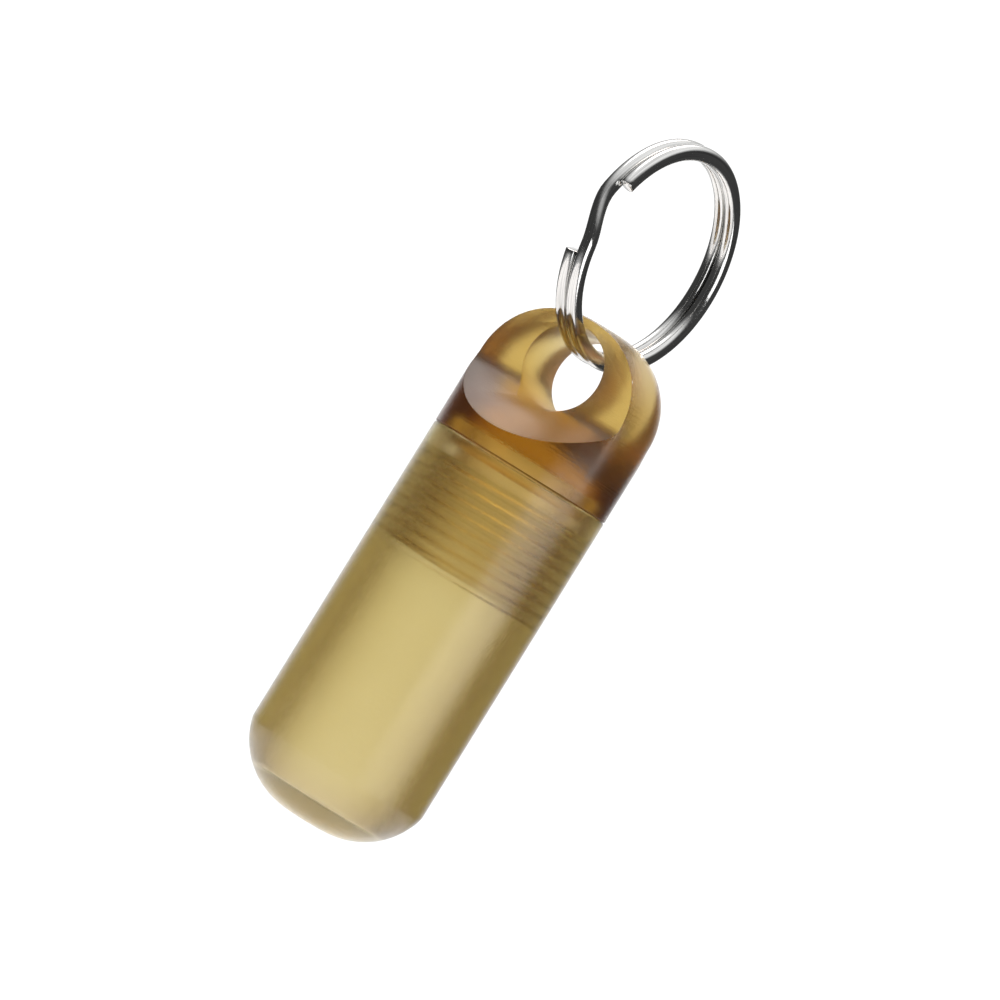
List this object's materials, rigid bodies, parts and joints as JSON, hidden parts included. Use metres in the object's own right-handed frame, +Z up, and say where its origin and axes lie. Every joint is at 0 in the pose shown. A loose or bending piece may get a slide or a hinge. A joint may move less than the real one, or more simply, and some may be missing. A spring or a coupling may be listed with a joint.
{
  "type": "storage bottle",
  "caption": "Small key-ring storage bottle: a round-based amber plastic tube, a screw cap milled to a flat lug with a cross hole, a seal in the joint and a steel split ring to hang it by.",
  "frame": {"origin": "centre of the small flat on the bottle's base", "axes": "+Z up the common axis of bottle, seal and cap, towards the split ring; Y along the axis of the hole in the lug; X across the lug's width"},
  "size_m": [0.0126, 0.0159, 0.0502],
  "materials": {
    "amber_plastic": "satin, see-through amber",
    "seal_rubber": "satin, pale amber",
    "ring_steel": "polished"
  },
  "bodies": {
    "ring": {"split_ring": "ring_steel"},
    "cap": {"cap": "amber_plastic"},
    "seal": {"seal_ring": "seal_rubber"},
    "bottle": {"bottle": "amber_plastic"}
  },
  "joints": [
    {"name": "cap_swing", "type": "hinge", "parent": "ring", "child": "cap", "pos_m": [0, 0, 0.03325], "axis": [0, 1, 0], "range_deg": [-140, 140]},
    {"name": "bottle_turn", "type": "hinge", "parent": "cap", "child": "seal", "pos_m": [0, 0, 0], "axis": [0, 0, -1], "range_deg": [0, 2880]},
    {"name": "bottle_travel", "type": "slide", "parent": "seal", "child": "bottle", "axis": [0, 0, -1], "range_m": [0, 0.00635]}
  ],
  "couplings": [
    {"joint": "bottle_turn", "follows": "bottle_travel", "rad_per_m": 7915.8}
  ]
}
